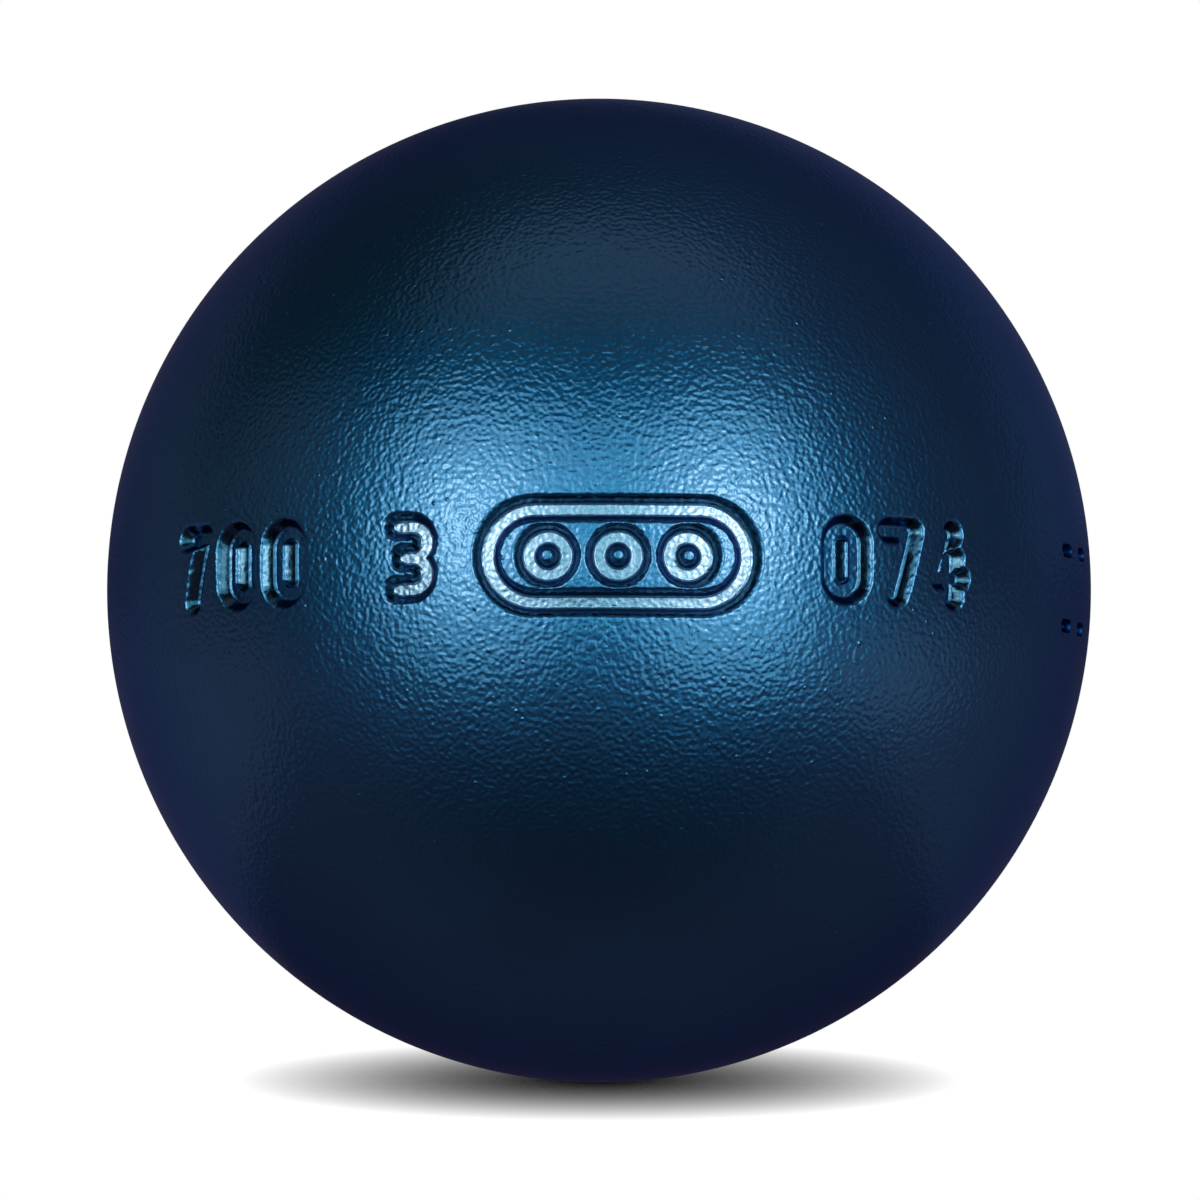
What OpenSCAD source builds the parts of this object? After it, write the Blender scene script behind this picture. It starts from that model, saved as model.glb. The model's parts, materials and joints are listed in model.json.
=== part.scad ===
// Petanque boule: two forged hollow half shells, located by a tongue and closed by a two-pass weld.
// The origin is the ball's centre and +Z is up. The joint plane is XZ, and the marked half faces -Y.

/* [Ball] */
// Outside diameter of the finished ball
ball_d = 74; // [70.5:0.1:80]
// Thickness of the steel wall
wall_t = 6.17; // [5.5:0.01:7.5]

/* [Weld joint] */
// Height of the rim where the halves meet, from the inner face outwards
land_h = 2.4; // [2:0.1:2.8]
// Radial thickness of the locating tongue
tongue_t = 1.2; // [0.8:0.1:1.5]
// How far the tongue reaches past the joint plane
tongue_l = 1.5; // [1:0.1:3]
// Clearance beside and past the tongue
tongue_fit = 0.05; // [0.02:0.01:0.15]
// Width of the weld groove at its floor
groove_floor_w = 1.2; // [0.8:0.1:2]
// Slope of each side of the weld groove, from the joint plane, in degrees
groove_slope = 30; // [20:1:40]
// Height of the first weld pass above the groove's floor
root_pass_h = 1.6; // [1:0.1:2]

/* [Marks] */
// Overall height of an engraved character, half way down the engraving
char_h = 6.05; // [5:0.05:8]
// Overall width of an engraved character, there too
char_w = 3.6; // [3.4:0.1:4.6]
// Clear gap between two characters
char_gap = 1.2; // [0.6:0.05:1.4]
// Width of the engraved line, half way down its walls
line_w = 1.4; // [0.6:0.05:1.6]
// Depth of the engraving
line_depth = 1; // [0.2:0.05:1.2]
// How far the ring of marks is tipped up at the front, in degrees
ring_lean = 8.3; // [0:0.1:15]

/* [Emblem] */
// Overall width of the round-ended frame
emblem_w = 20.6; // [19:0.1:24]
// Overall height of the round-ended frame
emblem_h = 8.3; // [8.1:0.1:10.6]
// Outside diameter of each ring inside the frame
emblem_ring_d = 4.2; // [3.6:0.1:4.8]
// Distance from one ring's centre to the next
emblem_ring_pitch = 5.2; // [5:0.1:6]

/* [Batch mark] */
// Length of each of its four dashes
dash_l = 2.1; // [1.5:0.1:2.5]
// Width of a dash
dash_w = 0.75; // [0.5:0.05:1]
// Distance between the middles of two dashes side by side
dash_pitch_w = 4.2; // [3.8:0.1:5]
// Distance between the middles of the upper and the lower dashes
dash_pitch_h = 5.6; // [4:0.1:7]
// How far the four sit below the middle of the ring
dash_drop = 0.7; // [0:0.1:1.5]

/* [Places round the ring] */
// Angle of the mass mark from the front, to the right, in degrees
mass_mark_at = -46.2; // [-60:0.1:-42]
// Angle of the set mark
set_mark_at = -21.9; // [-26:0.1:-21]
// Angle of the emblem
emblem_at = 2.2; // [0:0.1:5]
// Angle of the diameter mark
diameter_mark_at = 36.8; // [36:0.1:46]
// Angle of the batch mark
batch_mark_at = 73.8; // [70:0.1:76]

/* [Hidden] */
$fn = 144;

mass_mark = ["7", "0", "0"];
set_mark = ["3"];
diameter_mark = ["0", "7", "4"];

ball_r = ball_d / 2;
hollow_r = ball_r - wall_t;
land_r = hollow_r + land_h;
root_pass_r = land_r + root_pass_h;
// How far cutters run past what they cut
overrun = 1;
clear_r = ball_r + overrun;
groove_clear_w = groove_floor_w / 2 + (clear_r - land_r) * tan(groove_slope);

// Characters are drawn on their lines' middles, over a base line at the origin
cell_w = char_w - line_w;
cell_h = char_h - line_w;
bowl_r = cell_h / 4;
char_pitch = asin((char_w + char_gap) / ball_r);
// Points of the straight characters, as shares of the cell's width and height
seven_shares = [[-0.5, 1], [0.5, 1], [-0.15, 0]];
four_shares = [[0.15, 1], [-0.5, 0.3], [0.5, 0.3]];
four_stem_shares = [[0.2, 0.62], [0.2, 0]];
three_arm_share = 0.25;

steel_blue = [0.05, 0.17, 0.29];
weld_grey = [0.45, 0.44, 0.42];

// Straight groove from one point to another, square at both ends
module bar(from, to, w = line_w) {
    reach = to - from;
    translate(from) rotate(atan2(reach.y, reach.x))
        translate([0, -w / 2]) square([norm(reach), w]);
}

// Round end or elbow of a groove
module tip(at, w = line_w) {
    translate(at) circle(d = w);
}

// Chain of straight grooves through points given as shares of the cell
module chain(shares) {
    points = [for (share = shares) [share.x * cell_w, share.y * cell_h]];
    for (i = [1 : len(points) - 1]) bar(points[i - 1], points[i]);
    for (point = points) tip(point);
}

// Half of a ring groove, on the side that the angle faces
module half_bend(at, r, facing) {
    outer_r = r + line_w / 2;
    translate(at) rotate(facing) difference() {
        circle(r = outer_r);
        circle(r = outer_r - line_w);
        translate([-outer_r, -outer_r]) square([outer_r, 2 * outer_r]);
    }
}

module ring(at, outer_d) {
    translate(at) difference() {
        circle(d = outer_d);
        circle(d = outer_d - 2 * line_w);
    }
}

module zero() {
    side = cell_w / 2;
    half_bend([0, side], side, -90);
    half_bend([0, cell_h - side], side, 90);
    for (x = [-side, side]) bar([x, side], [x, cell_h - side]);
}

module three() {
    bend_x = cell_w / 2 - bowl_r;
    waist_x = -cell_w * three_arm_share;
    for (y = [bowl_r, cell_h - bowl_r]) half_bend([bend_x, y], bowl_r, 0);
    for (y = [0, cell_h]) {
        bar([-cell_w / 2, y], [bend_x, y]);
        tip([-cell_w / 2, y]);
    }
    bar([waist_x, cell_h / 2], [bend_x, cell_h / 2]);
    tip([waist_x, cell_h / 2]);
}

module character(name) {
    if (name == "0") zero();
    if (name == "3") three();
    if (name == "4") {
        chain(four_shares);
        chain(four_stem_shares);
    }
    if (name == "7") chain(seven_shares);
}

// Round-ended frame that holds three rings in a row
module emblem() {
    end_r = (emblem_h - line_w) / 2;
    end_x = (emblem_w - line_w) / 2 - end_r;
    half_bend([end_x, 0], end_r, 0);
    half_bend([-end_x, 0], end_r, 180);
    for (y = [-end_r, end_r]) bar([-end_x, y], [end_x, y]);
    for (i = [-1 : 1]) ring([i * emblem_ring_pitch, 0], emblem_ring_d);
}

// Four short round-ended dashes at the corners of a rectangle
module batch_dashes() {
    end_x = (dash_l - dash_w) / 2;
    for (x = [-dash_pitch_w / 2, dash_pitch_w / 2], y = [-dash_pitch_h / 2, dash_pitch_h / 2]) {
        left = [x - end_x, y - dash_drop];
        right = [x + end_x, y - dash_drop];
        bar(left, right, dash_w);
        for (end = [left, right]) tip(end, dash_w);
    }
}

// Stands a drawing on the ball, at an angle round the leaned ring, as a prism through the surface
module stand_at(angle) {
    rotate([-ring_lean, 0, 0]) rotate([0, 0, angle]) rotate([90, 0, 0])
        translate([0, 0, hollow_r]) linear_extrude(clear_r - hollow_r) children();
}

module word_at(angle, word) {
    for (i = [0 : len(word) - 1])
        stand_at(angle + (i - (len(word) - 1) / 2) * char_pitch)
            translate([0, -cell_h / 2]) character(word[i]);
}

// Everything that the engraving takes away, with a floor that follows the ball
module engraving() {
    difference() {
        union() {
            word_at(mass_mark_at, mass_mark);
            word_at(set_mark_at, set_mark);
            stand_at(emblem_at) emblem();
            word_at(diameter_mark_at, diameter_mark);
            stand_at(batch_mark_at) batch_dashes();
        }
        sphere(r = ball_r - line_depth);
    }
}

// Half of the weld groove's section, from its floor out past the ball
module groove_section() {
    polygon([[land_r, 0], [land_r, groove_floor_w / 2], [clear_r, groove_clear_w], [clear_r, 0]]);
}

// Section of one half shell over the joint plane, with its side of the weld groove cut away
module half_wall() {
    difference() {
        intersection() {
            circle(r = ball_r);
            square(clear_r);
        }
        circle(r = hollow_r);
        groove_section();
    }
}

// Turns a section about the weld's axis; the side is 1 for the front half and -1 for the rear half
module turned(side) {
    rotate([side * 90, 0, 0]) rotate_extrude() children();
}

module front_half_shell() {
    color(steel_blue) difference() {
        turned(1) {
            half_wall();
            translate([hollow_r, -tongue_l]) square([tongue_t, tongue_l]);
        }
        engraving();
    }
}

module rear_half_shell() {
    seat_r = hollow_r + tongue_t + tongue_fit;
    color(steel_blue) turned(-1) difference() {
        half_wall();
        square([seat_r, tongue_l + tongue_fit]);
    }
}

// Section of the weld between two radii, on both sides of the joint plane
module weld_section(inner_r, outer_r) {
    for (flip = [0, 1]) mirror([0, flip]) intersection() {
        groove_section();
        difference() {
            circle(r = outer_r);
            circle(r = inner_r);
        }
    }
}

module root_weld() {
    color(weld_grey) turned(1) weld_section(hollow_r, root_pass_r);
}

// Machined flush with the ball, so the blue finish runs over it
module cap_weld() {
    color(steel_blue) turned(1) weld_section(root_pass_r, ball_r);
}

front_half_shell();
rear_half_shell();
root_weld();
cap_weld();
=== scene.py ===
import json
import math

import bpy
import numpy as np
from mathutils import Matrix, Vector
from mathutils.geometry import delaunay_2d_cdt

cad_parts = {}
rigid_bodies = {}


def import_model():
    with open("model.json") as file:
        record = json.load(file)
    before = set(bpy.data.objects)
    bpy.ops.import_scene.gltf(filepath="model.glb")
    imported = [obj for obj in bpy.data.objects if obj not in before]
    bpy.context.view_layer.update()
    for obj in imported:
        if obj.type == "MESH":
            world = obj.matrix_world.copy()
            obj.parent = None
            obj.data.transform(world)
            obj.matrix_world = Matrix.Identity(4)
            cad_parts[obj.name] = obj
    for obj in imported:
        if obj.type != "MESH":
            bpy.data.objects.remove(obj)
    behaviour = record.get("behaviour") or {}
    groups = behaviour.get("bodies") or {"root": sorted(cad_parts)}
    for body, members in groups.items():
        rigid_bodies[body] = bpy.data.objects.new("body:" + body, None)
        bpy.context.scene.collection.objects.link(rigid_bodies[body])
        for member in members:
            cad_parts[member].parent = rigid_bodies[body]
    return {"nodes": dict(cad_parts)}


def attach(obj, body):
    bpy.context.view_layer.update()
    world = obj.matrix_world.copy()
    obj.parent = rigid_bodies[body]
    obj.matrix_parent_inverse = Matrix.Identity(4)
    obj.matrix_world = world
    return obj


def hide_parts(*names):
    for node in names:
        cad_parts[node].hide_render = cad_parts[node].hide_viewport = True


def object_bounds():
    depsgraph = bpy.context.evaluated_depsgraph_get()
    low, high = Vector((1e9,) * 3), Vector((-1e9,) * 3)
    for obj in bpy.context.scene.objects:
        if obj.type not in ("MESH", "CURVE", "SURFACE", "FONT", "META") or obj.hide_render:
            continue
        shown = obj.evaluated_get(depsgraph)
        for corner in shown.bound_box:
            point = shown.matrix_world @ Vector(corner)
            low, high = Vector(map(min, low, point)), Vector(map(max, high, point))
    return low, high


for leftover in list(bpy.data.objects):    # Blender's own cube, lamp and camera
    bpy.data.objects.remove(leftover)
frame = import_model()
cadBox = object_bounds()
mm = 0.001
ballR = min(high - low for low, high in zip(*cadBox)) / 2 / mm
print(f"frame loaded: ball radius {ballR:.2f} mm")

# The shapes are in millimetres and degrees, as in the part's own source.
# The marked half faces -Y, and the joint plane is XZ.

joint = {
    "wall": 6.17,
    "land": 2.4,           # height of the rim where the halves meet
    "tongueThick": 1.2,
    "tongueLong": 1.5,
    "tongueFit": 0.05,
    "grooveFloor": 1.2,    # width of the weld groove at its floor
    "grooveSlope": 30,     # of each side, from the joint plane
    "rootPass": 1.6,       # height of the first weld pass
}

marks = {
    "charHigh": 6.05,      # sizes half way down the engraving
    "charWide": 3.6,
    "charGap": 1.2,
    "lineWide": 1.4,
    "floorWide": 0.84,     # width of the line's flat floor
    "deep": 1.0,
    "floorRound": 0.12,    # half of the rounding between floor and wall
    "lipRound": 0.2,       # half of the rounding at the ball's surface
    "lean": 8.3,           # the ring of marks is tipped up at the front
    "words": [(-46.2, "700"), (-21.9, "3"), (36.8, "074")],    # angles round the ring, to the right
    "threeArm": 0.25,      # how far the 3's middle arm reaches left, as a share of its width
    "emblemAt": 2.2,
    "emblemWide": 20.6,
    "emblemHigh": 8.3,
    "emblemRing": 4.2,
    "emblemPitch": 5.2,
    "dashesAt": 73.8,
    "dashLong": 2.1,
    "dashWide": 0.75,
    "dashSharp": 3,        # its walls are this much steeper
    "dashPitch": (4.2, 5.6),
    "dashDrop": 0.7,
    "raggedReach": 0.20,   # how far into the wall the ragged outer edge goes
    "ragged": 0.009,       # height of each of its waves
    # and their lengths, directions and phases
    "raggedWaves": [(0.62, (0.8, 0.1, 0.6), 0.3), (0.55, (-0.5, 0.3, 0.8), 2.1),
                    (0.83, (0.1, -0.4, 0.9), 4.4), (0.71, (0.9, 0.3, -0.3), 1.2),
                    (1.10, (0.6, -0.2, -0.8), 5.0)],
}
lineHalf = marks["lineWide"] / 2

# strokes of the straight characters, as shares of the cell's width and height from its middle
chainShares = {
    "7": [[(-0.5, 0.5), (0.5, 0.5), (-0.15, -0.5)]],
    "4": [[(0.15, 0.5), (-0.5, -0.2), (0.5, -0.2)], [(0.2, 0.12), (0.2, -0.5)]],
}


def line(p, q, half=lineHalf, sharp=1):
    return {"kind": "line", "p": np.array(p, float), "q": np.array(q, float), "half": half, "sharp": sharp}


# an arc of a centre line, from an angle on by a sweep
def arc(centre, r, start, sweep):
    start, sweep = math.radians(start), math.radians(sweep)
    return {"kind": "arc", "c": np.array(centre, float), "r": r, "start": start, "sweep": sweep,
            "half": lineHalf, "sharp": 1}


def characterStrokes(name):
    wide = marks["charWide"] - marks["lineWide"]
    high = marks["charHigh"] - marks["lineWide"]
    bowl, side = high / 4, wide / 2
    if name in chainShares:
        chains = [[(x * wide, y * high) for x, y in chain] for chain in chainShares[name]]
        return [line(p, q) for chain in chains for p, q in zip(chain, chain[1:])]
    if name == "0":
        straight = high / 2 - side
        return [arc((0, straight), side, 0, 180), arc((0, -straight), side, 180, 180),
                line((-side, -straight), (-side, straight)), line((side, -straight), (side, straight))]
    bend = side - bowl    # the 3
    return [arc((bend, y), bowl, -90, 180) for y in (-bowl, bowl)] + [
        line((-side, -high / 2), (bend, -high / 2)), line((-side, high / 2), (bend, high / 2)),
        line((-wide * marks["threeArm"], 0), (bend, 0))]


# a round-ended frame that holds three rings in a row
def emblemStrokes():
    endR = (marks["emblemHigh"] - marks["lineWide"]) / 2
    endX = (marks["emblemWide"] - marks["lineWide"]) / 2 - endR
    ringR = (marks["emblemRing"] - marks["lineWide"]) / 2
    strokes = [arc((endX, 0), endR, -90, 180), arc((-endX, 0), endR, 90, 180)]
    strokes += [line((-endX, y), (endX, y)) for y in (-endR, endR)]
    return strokes + [arc((i * marks["emblemPitch"], 0), ringR, 0, 360) for i in (-1, 0, 1)]


# four short dashes at the corners of a rectangle
def batchStrokes():
    end = (marks["dashLong"] - marks["dashWide"]) / 2
    wide, high = marks["dashPitch"]
    corners = [(x, y - marks["dashDrop"]) for x in (-wide / 2, wide / 2) for y in (-high / 2, high / 2)]
    return [line((x - end, y), (x + end, y), marks["dashWide"] / 2, marks["dashSharp"]) for x, y in corners]


def turn(axis, degrees):
    c, s = math.cos(math.radians(degrees)), math.sin(math.radians(degrees))
    i, j = (axis + 1) % 3, (axis + 2) % 3
    m = np.eye(3)
    m[i, i] = m[j, j] = c
    m[i, j], m[j, i] = -s, s
    return m


# turns a mark's own axes (right, up, out) to its place on the leaned ring
def standAt(degrees):
    return turn(0, -marks["lean"]) @ turn(2, degrees) @ turn(0, 90)


def allMarks():
    pitch = math.degrees(math.asin((marks["charWide"] + marks["charGap"]) / ballR))
    groups = [(standAt(marks["emblemAt"]), emblemStrokes()), (standAt(marks["dashesAt"]), batchStrokes())]
    for middle, word in marks["words"]:
        for i, name in enumerate(word):
            groups.append((standAt(middle + (i - (len(word) - 1) / 2) * pitch), characterStrokes(name)))
    return groups


# distance from the middle of a stroke, counted so that the middle of its wall is always at lineHalf
def strokeDistance(stroke, points):
    return lineHalf + (plainDistance(stroke, points) - stroke["half"]) * stroke["sharp"]


def plainDistance(stroke, points):
    if stroke["kind"] == "line":
        along = stroke["q"] - stroke["p"]
        t = np.clip((points - stroke["p"]) @ along / (along @ along), 0, 1)
        return np.linalg.norm(points - stroke["p"] - t[:, None] * along, axis=1)
    away = points - stroke["c"]
    radius = np.linalg.norm(away, axis=1)
    angle = (np.arctan2(away[:, 1], away[:, 0]) - stroke["start"]) % (2 * math.pi)
    beyond = np.minimum(np.maximum(angle - stroke["sweep"], 0), 2 * math.pi - angle)
    ends = radius**2 + stroke["r"] ** 2 - 2 * radius * stroke["r"] * np.cos(beyond)
    onArc = angle <= stroke["sweep"]
    return np.where(onArc, np.abs(radius - stroke["r"]), np.sqrt(np.maximum(ends, 0)))


def distanceTo(strokes, points):
    if not strokes:
        return np.full(len(points), np.inf)
    return np.min([strokeDistance(s, points) for s in strokes], axis=0)


# outlines of a stroke at one counted distance, 0 for its middle: curves that take 0 to 1, and their lengths
def outlines(stroke, level):
    d = stroke["half"] + (level - lineHalf) / stroke["sharp"] if level else 0

    def bow(centre, r, start, sweep):
        def at(t):
            angle = start + sweep * t
            return np.array(centre) + r * np.stack([np.cos(angle), np.sin(angle)], 1)
        return at, abs(r * sweep)

    def straight(a, b):
        return lambda t: a + t[:, None] * (b - a), np.linalg.norm(b - a)

    if stroke["kind"] == "line":
        p, q = stroke["p"], stroke["q"]
        if d == 0:
            return [straight(p, q)]
        along = (q - p) / np.linalg.norm(q - p)
        side = np.array([along[1], -along[0]])
        heading = math.atan2(along[1], along[0])
        return [straight(p + d * side, q + d * side), bow(q, d, heading - math.pi / 2, math.pi),
                straight(q - d * side, p - d * side), bow(p, d, heading + math.pi / 2, math.pi)]
    c, r, start, sweep = stroke["c"], stroke["r"], stroke["start"], stroke["sweep"]
    if d == 0:
        return [bow(c, r, start, sweep)]
    pieces = [bow(c, r + d, start, sweep)]
    if r > d:
        pieces.append(bow(c, r - d, start, sweep))
    if sweep < 2 * math.pi - tiny:
        for end, turned in ((start, -math.pi), (start + sweep, math.pi)):
            pieces.append(bow(c + r * np.array([math.cos(end), math.sin(end)]), d, end, turned))
    return pieces


grid = {
    "lineStep": 0.13,      # spacing of points along an engraved edge
    "guard": 0.16,         # from the rounded lip to the ring of points outside it
    "plain": 0.95,         # spacing of the plain surface at the front, half of it at the rim
    "near": 0.42,          # and close to the marks
    "nearReach": 1.5,
    "turns": 360,          # points round the ball's rim
    "innerRings": 24,      # from the rim of a half to the middle of its hollow
    "outerRings": 90,      # and of the rear half's outside
    "capRings": (12, 6),   # of the cap weld's outer and inner face
    "clear": (0.45, 0.9),  # least gap from the lattice to an engraved edge and to the rim, in spacings
    "halvings": 40,        # of a search
    "slopeStep": 0.012,    # over which the engraving's slope is measured
    "sharpAngle": 30,      # edges of bare metal that turn by more than this stay sharp
}
tiny = 1e-6                # anything smaller counts as nothing
mapTolerance = 1e-4        # points of the flat map that are closer than this are one

# distances from a line's middle at which points are laid, from the floor out to the guard ring
floorR = marks["floorWide"] / 2
lipR = marks["lineWide"] - floorR
levels = [0] + [floorR + k * marks["floorRound"] for k in (-1, 0, 1)]
levels += [lipR + k * marks["lipRound"] for k in (-1, -1 / 3, 1 / 3, 1)]
levels.append(lipR + marks["lipRound"] + grid["guard"])


# depth of the engraving at a distance from its middle line: floor, rounded corner, sloped wall, rounded lip
def depthAt(distance):
    def ramp(x, soft):
        bent = (x + soft) ** 2 / (4 * soft)
        return np.where(x < -soft, 0, np.where(x > soft, x, bent))

    wallWide = lipR - floorR
    rise = ramp(distance - floorR, marks["floorRound"]) - ramp(distance - lipR, marks["lipRound"])
    return marks["deep"] * (1 - np.minimum(rise / wallWide, 1))


def distanceOnBall(directions, groups):
    nearest = np.full(len(directions), marks["emblemWide"])
    for m, strokes in groups:
        local = directions @ m * ballR
        reach = np.linalg.norm(local[:, :2], axis=1) < marks["emblemWide"]
        seen = np.nonzero(reach & (local[:, 2] > 0))[0]
        nearest[seen] = np.minimum(nearest[seen], distanceTo(strokes, local[seen, :2]))
    return nearest + raggedness(directions) * np.clip((nearest - lipR) / marks["raggedReach"] + 1, 0, 1)


# how far the engraving's outer edges stray from their drawing
def raggedness(directions):
    waves = [np.sin(directions @ (2 * math.pi * ballR / size * np.array(way)) + turned)
             for size, way, turned in marks["raggedWaves"]]
    return marks["ragged"] * np.sum(waves, axis=0)


# direction of the ball's point over a point of a mark's drawing
def onBall(m, x, y):
    return m @ np.array([x, y, math.sqrt(ballR**2 - x * x - y * y)]) / ballR


# flat map of the front half that keeps angles: the far pole of the ball is sent to infinity
def toMap(directions):
    return 2 * ballR * directions[:, [0, 2]] / (1 - directions[:, 1])[:, None]


def fromMap(points):
    rho = np.maximum(np.linalg.norm(points, axis=1), tiny)
    phi = 2 * np.arctan(rho / (2 * ballR))
    return np.stack([np.sin(phi) * points[:, 0] / rho, -np.cos(phi), np.sin(phi) * points[:, 1] / rho], 1)


# where a curve comes out of the other strokes, between a hidden point of it and a clear one
def wayOut(curve, others, level, hidden, clear):
    for _ in range(grid["halvings"]):
        middle = (hidden + clear) / 2
        if distanceTo(others, curve(np.array([middle])))[0] >= level:
            clear = middle
        else:
            hidden = middle
    return clear


# the stretches of a curve that no other stroke swallows, each as shares of the curve
def clearRuns(curve, length, others, level):
    count = max(2, math.ceil(length / grid["lineStep"]))
    shares = np.linspace(0, 1, count + 1)
    free = distanceTo(others, curve(shares)) >= level - tiny
    runs = [[]]
    for i, share in enumerate(shares):
        if i and free[i] != free[i - 1]:
            ends = (shares[i - 1], share) if free[i] else (share, shares[i - 1])
            runs[-1].append(wayOut(curve, others, level, *ends))
        if free[i]:
            runs[-1].append(share)
        elif runs[-1]:
            runs.append([])
    return runs


# points and edges along every engraved line
def engravedLines(groups):
    directions, edges = [], []
    for m, strokes in groups:
        for index, stroke in enumerate(strokes):
            others = strokes[:index] + strokes[index + 1:]
            for level in levels:
                for curve, length in outlines(stroke, level):
                    for run in clearRuns(curve, length, others, level):
                        first = len(directions)
                        edges += [(first + i, first + i + 1) for i in range(len(run) - 1)]
                        directions += [onBall(m, *curve(np.array([share]))[0]) for share in run]
    return np.array(directions), edges


# radius from the weld's axis and height over the joint plane where the weld groove opens on the ball
def grooveMouth():
    slope = math.tan(math.radians(joint["grooveSlope"]))
    r = ballR
    for _ in range(grid["halvings"]):
        high = joint["grooveFloor"] / 2 + (r - landR) * slope
        r = math.sqrt(ballR**2 - high * high)
    return r, high


hollowR = ballR - joint["wall"]
landR = hollowR + joint["land"]
rootR = landR + joint["rootPass"]
mouthR, mouthHigh = grooveMouth()


# the front half's coated skin: directions from the ball's middle, depths, faces and the points on its rim
def frontSkin(groups):
    lineDirections, edges = engravedLines(groups)
    rimRho = 2 * ballR * math.tan(math.atan2(mouthR, mouthHigh) / 2)
    angles = np.arange(grid["turns"]) * 2 * math.pi / grid["turns"]
    rim = rimRho * np.stack([np.cos(angles), np.sin(angles)], 1)
    points = [toMap(lineDirections), rim, rim * (1 - grid["plain"] / rimRho / 2)]
    for step, nearOnly in ((grid["plain"], False), (grid["near"], True)):
        count = int(rimRho / step) + 1
        rows = np.arange(-count * 2, count * 2 + 1)
        x, y = np.meshgrid(rows * step, rows * step * math.sqrt(3) / 2)
        x = x + (np.arange(len(rows)) % 2)[:, None] * step / 2
        lattice = np.stack([x.ravel(), y.ravel()], 1)
        lattice = lattice[np.linalg.norm(lattice, axis=1) < rimRho - grid["plain"] * grid["clear"][1]]
        distance = distanceOnBall(fromMap(lattice), groups)
        inReach = distance < levels[-1] + grid["nearReach"]
        lattice = lattice[(distance > levels[-1] + step * grid["clear"][0]) & (inReach == nearOnly)]
        points.append(lattice)
    points = np.concatenate(points)
    found = delaunay_2d_cdt([Vector(p) for p in points], edges, [], 0, mapTolerance)
    flat = np.array([tuple(p) for p in found[0]])
    onRim = np.nonzero(np.linalg.norm(flat, axis=1) > rimRho - mapTolerance)[0]
    onRim = onRim[np.argsort((np.arctan2(flat[onRim, 1], flat[onRim, 0]) + tiny) % (2 * math.pi))]
    directions = fromMap(flat)
    depth = depthAt(distanceOnBall(directions, groups))
    return directions, depth, [tuple(f) for f in found[2]], onRim


# outward direction of the engraved surface, from the depth a little to each side
def engravedNormals(directions, groups):
    step = grid["slopeStep"]
    sideways = np.abs(directions[:, [0]]) > np.abs(directions[:, [2]])
    helper = np.where(sideways, [[0, 0, 1.0]], [[1.0, 0, 0]])
    first = np.cross(directions, helper)
    first /= np.linalg.norm(first, axis=1)[:, None]
    second = np.cross(directions, first)
    normals = directions.copy()
    for tangent in (first, second):
        slope = 0
        for sign in (-1, 1):
            aside = directions + sign * tangent * step / ballR
            aside /= np.linalg.norm(aside, axis=1)[:, None]
            slope = slope + sign * depthAt(distanceOnBall(aside, groups)) / (2 * step)
        normals += slope[:, None] * tangent
    return normals / np.linalg.norm(normals, axis=1)[:, None]


# turns a profile of (radius, height) points about the Y axis; it runs from outside to inside
# side -1 faces the front and 1 the back; the first ring may be one that is there already
def turnProfile(profile, side, firstRing=None, base=0, closed=False):
    count = grid["turns"]
    angles = np.arange(count) * 2 * math.pi / count
    rings, points, faces = [], [], []
    for index, (r, high) in enumerate(profile):
        if index == 0 and firstRing is not None:
            rings.append(list(firstRing))
        elif r < tiny:
            rings.append([base + len(points)] * count)
            points.append((0, side * high, 0))
        else:
            rings.append([base + len(points) + k for k in range(count)])
            points.extend((r * math.cos(a), side * high, r * math.sin(a)) for a in angles)
    for one, two in list(zip(rings, rings[1:])) + ([(rings[-1], rings[0])] if closed else []):
        for k in range(count):
            n = (k + 1) % count
            face = list(dict.fromkeys((one[k], one[n], two[n], two[k])))
            faces.append(tuple(face if side > 0 else reversed(face)))
    return points, faces


# points on a circle about the ball's centre, from one height over the joint plane to another
def ballArc(r, fromHigh, toHigh, count):
    angles = np.linspace(math.asin(fromHigh / r), math.asin(toHigh / r), count + 1)
    return [(r * math.cos(a), r * math.sin(a)) for a in angles]


# makes a piece from points in millimetres; its first faces are the coated skin and the rest bare metal
def makePiece(name, points, faces, skinCount, skinNormals):
    mesh = bpy.data.meshes.new(name)
    mesh.from_pydata([tuple(p) for p in np.array(points) * mm], [], faces)
    mesh.polygons.foreach_set("use_smooth", [True] * len(faces))
    mesh.set_sharp_from_angle(angle=math.radians(grid["sharpAngle"]))
    mesh.materials.append(blueCoat)
    mesh.materials.append(bareSteel)
    mesh.polygons.foreach_set("material_index", [0] * skinCount + [1] * (len(faces) - skinCount))
    corners = np.zeros(len(mesh.loops) * 3, np.float32)
    mesh.corner_normals.foreach_get("vector", corners)
    corners = corners.reshape(-1, 3)
    cornerPoints = np.zeros(len(mesh.loops), np.int32)
    mesh.loops.foreach_get("vertex_index", cornerPoints)
    skinCorners = sum(len(face) for face in faces[:skinCount])
    corners[:skinCorners] = skinNormals[cornerPoints[:skinCorners]]
    mesh.normals_split_custom_set(corners.tolist())
    piece = bpy.data.objects.new(name, mesh)
    bpy.context.scene.collection.objects.link(piece)
    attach(piece, "root")
    print(f"{name}: {len(points)} points, {len(faces)} faces")
    return piece


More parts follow.
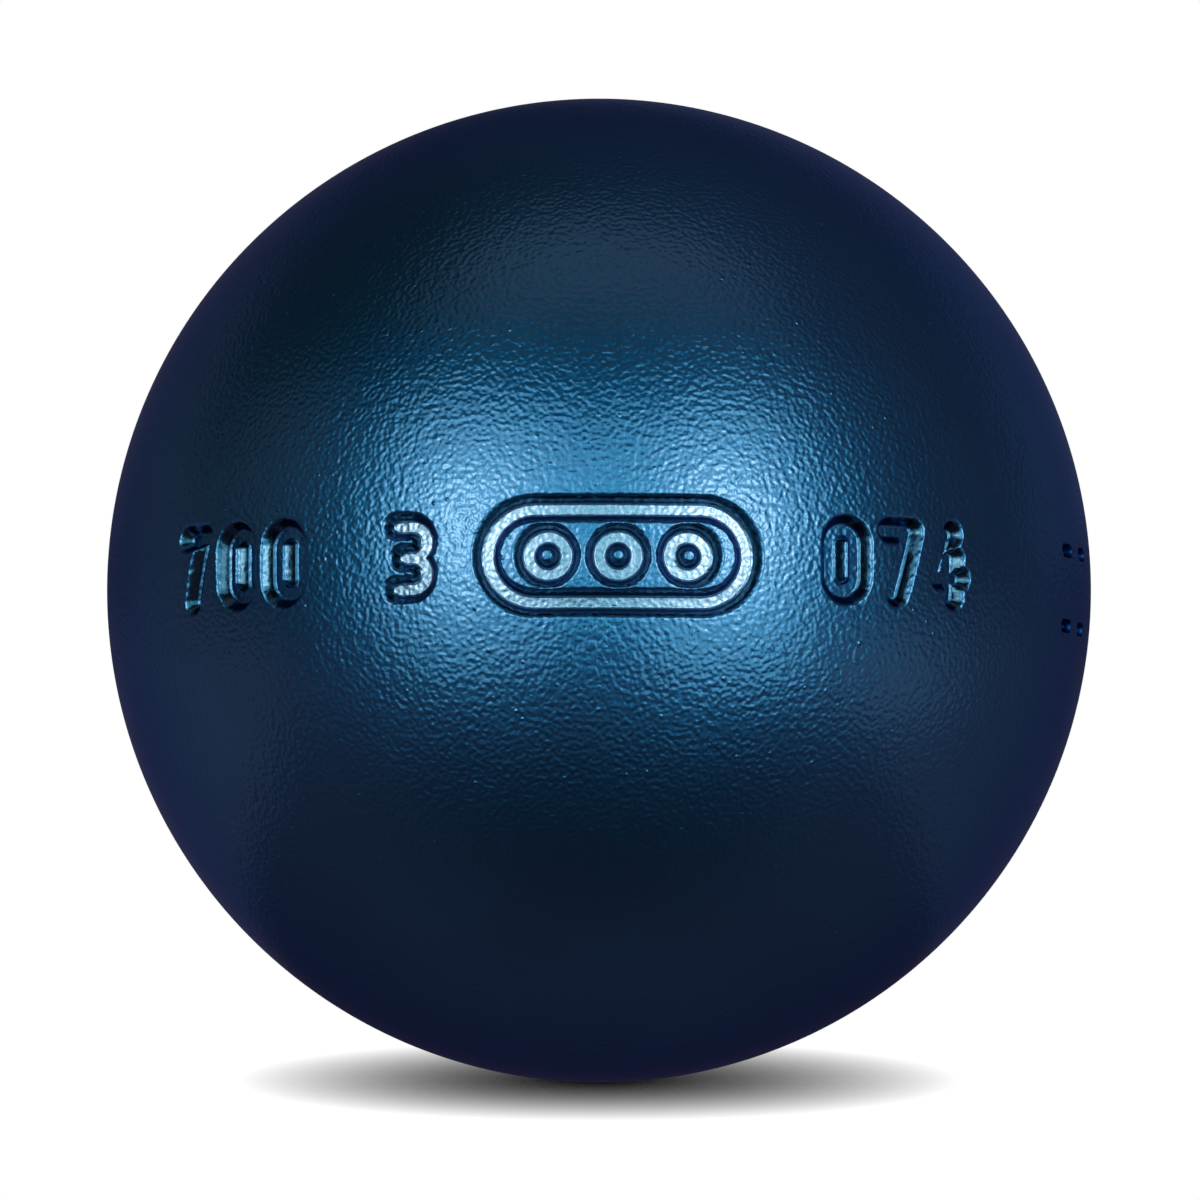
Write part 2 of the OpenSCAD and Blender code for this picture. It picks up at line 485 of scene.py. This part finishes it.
# a socket that can stand in a sum: each operator adds its Math node
class Signal:
    def __init__(self, finish, socket):
        self.finish, self.socket = finish, socket

    def maths(self, operation, *values):
        return self.finish.node("ShaderNodeMath", {"operation": operation}, dict(enumerate(values)))

    def __add__(self, other):
        return self.maths("ADD", self, other)

    def __radd__(self, other):
        return self.maths("ADD", other, self)

    def __sub__(self, other):
        return self.maths("SUBTRACT", self, other)

    def __rsub__(self, other):
        return self.maths("SUBTRACT", other, self)

    def __mul__(self, other):
        return self.maths("MULTIPLY", self, other)

    def __rmul__(self, other):
        return self.maths("MULTIPLY", other, self)

    def __abs__(self):
        return self.maths("ABSOLUTE", self)

    def __pow__(self, other):
        return self.maths("POWER", self, other)


# a material or world whose nodes are being laid
class Finish:
    def __init__(self, holder):
        self.holder = holder
        holder.use_nodes = True
        self.tree = holder.node_tree
        self.tree.nodes.clear()

    # any node: its settings are set first, then the values or links of its sockets
    def node(self, kind, settings=None, sockets=None, out=0):
        made = self.tree.nodes.new(kind)
        for name, value in (settings or {}).items():
            setattr(made, name, value)
        for name, value in (sockets or {}).items():
            if isinstance(value, Signal):
                self.tree.links.new(value.socket, made.inputs[name])
            else:
                made.inputs[name].default_value = value
        return Signal(self, made.outputs[out] if made.outputs else None)

    # a Mix node's colours are its sockets 6 and 7, and come out of its socket 2
    def mixColour(self, share, a, b):
        return self.node("ShaderNodeMix", {"data_type": "RGBA"}, {0: share, 6: a, 7: b}, out=2)

    # place on the ball, in millimetres from its middle
    def place(self):
        metres = self.node("ShaderNodeTexCoord", out="Object")
        return self.node("ShaderNodeVectorMath", {"operation": "SCALE"}, {0: metres, "Scale": 1 / mm})

    def noise(self, place, size, **sockets):
        names = {"Vector": place, "Scale": 1 / size}
        names.update({name.capitalize(): value for name, value in sockets.items()})
        return self.node("ShaderNodeTexNoise", None, names)

    # 0 below a low value, 1 above a high one, and smooth between
    def between(self, value, low, high):
        limits = {"Value": value, "From Min": low, "From Max": high}
        return self.node("ShaderNodeMapRange", {"interpolation_type": "SMOOTHSTEP"}, limits)


coat = {
    "colour": (0.0075, 0.178, 0.412, 1),
    "deepColour": (0.0065, 0.162, 0.386, 1),    # broad, faint cloudiness of the film
    "cloudSize": 9.0,
    "cloudDetail": 2.0,
    "cloudRange": (0.35, 0.65),                 # of the noise, from one colour to the other
    "shadedWallColour": (0.006, 0.078, 0.15, 1),      # painted shade: a darker colour on the engraving's walls
    "litFloorColour": (0.26, 0.39, 0.60, 1),       # painted highlight: a paler colour on the floors of the middle marks, where the lamps' glare falls
    "litFloorAside": (15.7, 16.2),                  # where it ends, to the left and right of the ball's middle
    "dashShadeColour": (0.008, 0.038, 0.16, 1),      # painted shade: a dark colour in the four dashes
    "dashDepth": (0.004, 0.012),                # where it starts, below the surface
    "dashAside": (30.5, 31.0),                  # and to the right of the ball's middle
    "wallDepth": (0.05, 0.3),                   # depths at which the coat turns into the wall's finish and its painted shade
    "floorShare": (0.8, 0.95),                  # and into the floor's, as shares of the full depth
    "edgeTint": (0.45, 0.42, 0.72, 1),          # the film's colour at a glancing angle
    "roughness": 0.36,
    "flakeShare": 0.155,                        # share of bright flakes that show the lamps' own colour
    "floorFlakes": 0.24,                        # and on the middle marks' floors with the painted highlight
    "wallFlakes": 0.10,                         # and on the engraving's walls
    "flakeColour": (0.48, 0.48, 0.48, 1),
    "flakeRoughness": 0.16,
    "wallRoughness": 0.17,                      # of both, on the engraving's walls
    "peelSize": 0.35,                           # of the orange peel's waves, in millimetres
    "peelHeight": 0.068,
    "peelDetail": 0.5,
    "peelRoughness": 0.3,
    "wallPeel": 0.28,                           # share of the peel's height on the engraving's walls
    "speckSize": 0.5,                           # of the cells in which a speck may lie
    "speckShare": 0.02,                         # of the cells that have one
    "speckEdge": 0.001,                         # softness of that choice
    "speckRange": (0.05, 0.4),                  # from a speck's top to its foot, in cells
    "speckHeight": 0.04,
}

steel = {
    "colour": (0.42, 0.40, 0.38, 1),
    "scaleColour": (0.16, 0.15, 0.155, 1),   # thin forging scale
    "scaleSize": 2.4,
    "scaleRange": (0.42, 0.62),
    "roughness": 0.42,
    "scaleRoughness": 0.2,                   # more of it on the scale
    "grainSize": 0.5,
    "grainHeight": 0.012,
    "detail": 3.0,
}


def makeBlueCoat():
    finish = Finish(bpy.data.materials.new("blueCoat"))
    place = finish.place()
    away = finish.node("ShaderNodeVectorMath", {"operation": "LENGTH"}, {0: place}, out="Value")
    below = ballR - away
    inMark = finish.between(below, *coat["wallDepth"])
    onFloor = finish.between(below, *[marks["deep"] * share for share in coat["floorShare"]])
    aside = finish.node("ShaderNodeSeparateXYZ", None, {0: place})
    inDash = finish.between(below, *coat["dashDepth"]) * finish.between(aside, *coat["dashAside"])
    onWall = (inMark - onFloor) * (1 - inDash)
    # painted highlight: only the floors near the ball's middle, where the glare falls, turn paler
    litFloor = onFloor * (1 - finish.between(abs(aside), *coat["litFloorAside"]))
    cloud = finish.noise(place, coat["cloudSize"], detail=coat["cloudDetail"])
    cloud = finish.between(cloud, *coat["cloudRange"])
    colour = finish.mixColour(cloud, coat["colour"], coat["deepColour"])
    # painted shade: the engraving's walls take the darker colour
    colour = finish.mixColour(onWall, colour, coat["shadedWallColour"])
    # painted highlight: the middle marks' floors take the paler colour
    colour = finish.mixColour(litFloor, colour, coat["litFloorColour"])
    # painted shade: the four dashes take a dark colour
    colour = finish.mixColour(inDash, colour, coat["dashShadeColour"])
    peel = finish.noise(place, coat["peelSize"], detail=coat["peelDetail"], roughness=coat["peelRoughness"])
    cells = {"Vector": place, "Scale": 1 / coat["speckSize"]}
    apart = finish.node("ShaderNodeTexVoronoi", {"feature": "F1"}, cells, out="Distance")
    chance = finish.node("ShaderNodeTexVoronoi", {"feature": "F1"}, cells, out="Color")
    chance = finish.node("ShaderNodeSeparateColor", None, {0: chance})
    rare = 1 - coat["speckShare"]
    speck = finish.between(chance, rare - coat["speckEdge"], rare)
    speck = speck * (1 - finish.between(apart, *coat["speckRange"]))
    height = peel * (coat["peelHeight"] * (1 - onWall * (1 - coat["wallPeel"])))
    height = height + speck * coat["speckHeight"] * (1 - inMark)
    bump = finish.node("ShaderNodeBump", None, {"Height": height, "Distance": mm})
    layers = []
    for base, rough in ((colour, coat["roughness"]), (coat["flakeColour"], coat["flakeRoughness"])):
        layers.append(finish.node("ShaderNodeBsdfPrincipled", None, {
            "Base Color": base,
            "Metallic": 1.0,
            "Roughness": rough + onWall * (coat["wallRoughness"] - rough),
            "Specular Tint": coat["edgeTint"],
            "Normal": bump,
        }))
    share = coat["flakeShare"] * (1 - inDash) + litFloor * (coat["floorFlakes"] - coat["flakeShare"])
    share = share + onWall * (coat["wallFlakes"] - coat["flakeShare"])
    shader = finish.node("ShaderNodeMixShader", None, {0: share, 1: layers[0], 2: layers[1]})
    finish.node("ShaderNodeOutputMaterial", None, {"Surface": shader})
    return finish.holder


def makeBareSteel(name):
    finish = Finish(bpy.data.materials.new(name))
    place = finish.place()
    scale = finish.noise(place, steel["scaleSize"], detail=steel["detail"])
    onScale = finish.between(scale, *steel["scaleRange"])
    grain = finish.noise(place, steel["grainSize"], detail=steel["detail"])
    bump = finish.node("ShaderNodeBump", None, {"Height": grain * steel["grainHeight"], "Distance": mm})
    shader = finish.node("ShaderNodeBsdfPrincipled", None, {
        "Base Color": finish.mixColour(onScale, steel["colour"], steel["scaleColour"]),
        "Metallic": 1.0,
        "Roughness": steel["roughness"] + scale * steel["scaleRoughness"],
        "Normal": bump,
    })
    finish.node("ShaderNodeOutputMaterial", None, {"Surface": shader})
    return finish.holder


blueCoat = makeBlueCoat()
bareSteel = makeBareSteel("bareSteel")
print("blue coat and bare steel laid")


def makeFrontShell():
    groups = allMarks()
    directions, depth, skinFaces, onRim = frontSkin(groups)
    normals = engravedNormals(directions, groups)
    tongueR = hollowR + joint["tongueThick"]
    profile = [(mouthR, mouthHigh), (landR, joint["grooveFloor"] / 2), (landR, 0), (tongueR, 0),
               (tongueR, -joint["tongueLong"]), (hollowR, -joint["tongueLong"])]
    profile += ballArc(hollowR, 0, hollowR, grid["innerRings"])[:-1] + [(0, hollowR)]
    more, moreFaces = turnProfile(profile, -1, onRim, len(directions))
    points = np.concatenate([directions * (ballR - depth)[:, None], more])
    piece = makePiece("frontHalfShell", points, skinFaces + moreFaces, len(skinFaces), normals)
    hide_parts("front_half_shell")


def makeRearShell():
    seatR = hollowR + joint["tongueThick"] + joint["tongueFit"]
    seatHigh = joint["tongueLong"] + joint["tongueFit"]
    profile = [(0, ballR)] + ballArc(ballR, ballR, mouthHigh, grid["outerRings"])[1:]
    skinCount = (len(profile) - 1) * grid["turns"]
    profile += [(landR, joint["grooveFloor"] / 2), (landR, 0), (seatR, 0), (seatR, seatHigh)]
    profile += ballArc(hollowR, seatHigh, hollowR, grid["innerRings"])[:-1] + [(0, hollowR)]
    points, faces = turnProfile(profile, 1)
    piece = makePiece("rearHalfShell", points, faces, skinCount, np.array(points) / ballR)
    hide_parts("rear_half_shell")


def makeCapWeld():
    innerHigh = joint["grooveFloor"] / 2 + (rootR - landR) * math.tan(math.radians(joint["grooveSlope"]))
    outerRings, innerRings = grid["capRings"]
    profile = ballArc(ballR, mouthHigh, -mouthHigh, outerRings)
    skinCount = (len(profile) - 1) * grid["turns"]
    profile += ballArc(rootR, -innerHigh, innerHigh, innerRings)
    points, faces = turnProfile(profile, 1, closed=True)
    piece = makePiece("capWeld", points, faces, skinCount, np.array(points) / ballR)
    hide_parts("cap_weld")


makeFrontShell()
makeRearShell()
makeCapWeld()
rootWeld = frame["nodes"]["root_weld"]
rootWeld.data.materials.clear()
rootWeld.data.materials.append(makeBareSteel("weldMetal"))

studio = {
    # softboxes: azimuth, elevation, width, height, radiance and colour; lengths are in metres
    # left and right of the camera, the whole of each and its ever brighter middles
    "keysLeft": [
        (-29, 20, 0.80, 0.88, 1.03, (0.50, 0.92, 1)),
        (-30, 17, 0.58, 0.76, 0.44, (0.93, 1, 0.9)),
        (-30, 16, 0.36, 0.46, 0.53, (1, 1, 0.86)),
        (-31, 17, 0.19, 0.25, 3.3, (1, 0.98, 0.78)),
    ],
    "keysRight": [
        (29, 20, 0.80, 0.88, 0.85, (0.44, 0.92, 1)),
        (30, 17, 0.58, 0.76, 0.64, (0.93, 1, 0.9)),
        (30, 16, 0.36, 0.46, 0.61, (1, 1, 0.86)),
        (31, 17, 0.19, 0.25, 3.9, (1, 0.98, 0.78)),
    ],
    # what spills between them
    "middles": [
        (1, 11, 0.34, 0.80, 0.42, (0.18, 1, 0.93)),
    ],
    # a panel overhead and the soft edge of its light
    "tops": [
        (0, 86, 0.8, 0.36, 0.076, (0.9, 0.95, 1)),
        (0, 84, 1.2, 0.62, 0.07, (0.9, 0.95, 1)),
    ],
    # panels beside and behind the ball
    "rims": [
        (152, 3, 1.1, 0.8, 0.078, (0.7, 0.85, 1)),
        (-140, 3, 1.3, 0.8, 0.048, (1, 0.9, 0.8)),
        (-85, 22, 0.6, 0.5, 0.062, (0.85, 0.85, 1)),
    ],
    # panels on the ground carry on the softboxes' light and lift the ball's lower sides:
    # azimuth, nearest and farthest distance, width, radiance and colour
    "panels": [
        (-27, 0.17, 0.85, 0.25, 0.73, (0.44, 0.95, 1)),
        (27, 0.15, 0.85, 0.26, 1.05, (0.42, 0.94, 1)),
        (63, 0.10, 0.55, 0.22, 0.128, (0.57, 0.89, 1)),
        (-122, 0.035, 0.70, 0.42, 0.060, (1, 0.85, 0.9)),
        (112, 0.035, 0.70, 0.50, 0.037, (0.97, 0.84, 1)),
    ],
    "lampDistance": 0.9,
    "room": (0.073, 0.053, 0.072, 1),        # what metal mirrors where no lamp is
    "roomHigh": (0.025, 0.019, 0.012, 1),    # and high up on the left
    "roomHighSide": (-0.60, -0.35, 0.72),
    "roomHighRange": (0.2, 0.9),
    "ground": (1, 1, 1, 1),                  # to the camera; metal and glass see it at the room's level
    "groundWide": 6.0,
    # a patch of the ground that metal sees dimmer, mirrored below the glare
    # its place and half sizes are in millimetres, and its soft edge is in shares of them
    "dimPatch": {"ahead": 60.0, "wide": 62.0, "long": 36.0, "keep": 0.45, "edge": (0.2, 1.1)},
    "panelLift": 0.001,                      # of the panels above the ground
    "shadowReach": 0.0088,                   # how near the ball the ground darkens
    "shadowDepth": 0.95,                     # the power that sets how dark
    "shadowSamples": 16,
}


def aim(thing, target):
    thing.rotation_euler = (Vector(target) - thing.location).to_track_quat("-Z", "Y").to_euler()


# azimuth 0 is in front of the marks, and grows to the right as they are faced
def around(azimuth, elevation, distance):
    a, e = math.radians(azimuth), math.radians(elevation)
    return Vector((math.sin(a) * math.cos(e), -math.cos(a) * math.cos(e), math.sin(e))) * distance


def addLamp(name, place, wide, high, radiance, colour, shape):
    lamp = bpy.data.lights.new(name, "AREA")
    lamp.shape, lamp.size, lamp.size_y = shape, wide, high
    lamp.energy = radiance * math.pi * wide * high
    lamp.color = colour
    holder = bpy.data.objects.new(name, lamp)
    holder.location = place
    holder.visible_camera = False
    bpy.context.scene.collection.objects.link(holder)
    return holder


def softbox(name, shape, azimuth, elevation, wide, high, radiance, colour):
    place = around(azimuth, elevation, studio["lampDistance"])
    aim(addLamp(name, place, wide, high, radiance, colour, shape), (0, 0, 0))


def floorPanel(name, azimuth, near, far, wide, radiance, colour):
    place = around(azimuth, 0, (near + far) / 2) - Vector((0, 0, ballR * mm - studio["panelLift"]))
    holder = addLamp(name, place, wide, far - near, radiance, colour, "ELLIPSE")
    holder.rotation_euler = (math.pi, 0, math.radians(azimuth))


def makeStudio():
    for name in ("keysLeft", "keysRight", "middles", "tops", "rims"):
        for index, lamp in enumerate(studio[name]):
            whole = name in ("keysLeft", "keysRight") and index == 0
            softbox(f"{name}{index}", "RECTANGLE" if whole else "ELLIPSE", *lamp)
    for index, panel in enumerate(studio["panels"]):
        floorPanel(f"panel{index}", *panel)


# a pale surface: in full to the camera, and at the room's level in metal and glass
def paleGlow(finish, room, kept, keptInMetal):
    names = ("Is Camera Ray", "Is Glossy Ray", "Is Transmission Ray")
    camera, glossy, glass = [finish.node("ShaderNodeLightPath", out=name) for name in names]
    colour = finish.mixColour(camera, room, studio["ground"])
    return {"Color": colour, "Strength": camera * kept + (glossy + glass) * keptInMetal}


def makeWorld():
    world = bpy.data.worlds.new("studioWorld")
    bpy.context.scene.world = world
    finish = Finish(world)
    direction = finish.node("ShaderNodeTexCoord", out="Generated")
    facing = {0: direction, 1: studio["roomHighSide"]}
    facing = finish.node("ShaderNodeVectorMath", {"operation": "DOT_PRODUCT"}, facing, out="Value")
    high = finish.between(facing, *studio["roomHighRange"])
    room = finish.mixColour(high, studio["room"], studio["roomHigh"])
    back = finish.node("ShaderNodeBackground", None, paleGlow(finish, room, 1, 1))
    finish.node("ShaderNodeOutputWorld", None, {"Surface": back})


def makeGround():
    half = studio["groundWide"] / 2
    mesh = bpy.data.meshes.new("ground")
    corners = [(-half, -half), (half, -half), (half, half), (-half, half)]
    mesh.from_pydata([(x, y, 0) for x, y in corners], [], [(0, 1, 2, 3)])
    finish = Finish(bpy.data.materials.new("paleGround"))
    reach = {"Distance": studio["shadowReach"]}
    clear = finish.node("ShaderNodeAmbientOcclusion", {"samples": studio["shadowSamples"]}, reach, out="AO")
    patch = studio["dimPatch"]
    place = finish.node("ShaderNodeMapping", None, {
        "Vector": finish.node("ShaderNodeTexCoord", out="Object"),
        "Location": (0, patch["ahead"] / patch["long"], 0),
        "Scale": (1 / (patch["wide"] * mm), 1 / (patch["long"] * mm), 1),
    })
    away = finish.node("ShaderNodeVectorMath", {"operation": "LENGTH"}, {0: place}, out="Value")
    lit = patch["keep"] + finish.between(away, *patch["edge"]) * (1 - patch["keep"])
    glow = paleGlow(finish, studio["room"], clear ** studio["shadowDepth"], lit)
    glow = finish.node("ShaderNodeEmission", None, glow)
    finish.node("ShaderNodeOutputMaterial", None, {"Surface": glow})
    mesh.materials.append(finish.holder)
    ground = bpy.data.objects.new("ground", mesh)
    ground.location = (0, 0, -ballR * mm)
    bpy.context.scene.collection.objects.link(ground)


makeStudio()
makeWorld()
makeGround()
print("studio lit")

view = {
    "lens": 400,              # millimetres, and the sensor's width
    "sensor": 36,
    "elevation": 4.3,
    "frameSide": 1200,        # pixels
    "ballPixels": 492,        # radius of the ball in the frame
    "ballBelow": -9.5,        # pixels from the frame's middle down to the ball's
    "ballRight": -1,
    "clip": (0.01, 20),       # metres
}


def makeCamera():
    focal = view["lens"] / view["sensor"] * view["frameSide"]
    distance = math.hypot(focal * ballR / view["ballPixels"], ballR) * mm
    lens = bpy.data.cameras.new("camera")
    lens.lens, lens.sensor_width = view["lens"], view["sensor"]
    lens.clip_start, lens.clip_end = view["clip"]
    camera = bpy.data.objects.new("camera", lens)
    camera.location = around(0, view["elevation"], distance)
    perPixel = distance / focal
    aim(camera, (-view["ballRight"] * perPixel, 0, view["ballBelow"] * perPixel))
    bpy.context.scene.collection.objects.link(camera)
    bpy.context.scene.camera = camera
    bpy.context.scene.view_settings.view_transform = "Standard"
    print(f"camera {distance:.3f} m away")


makeCamera()
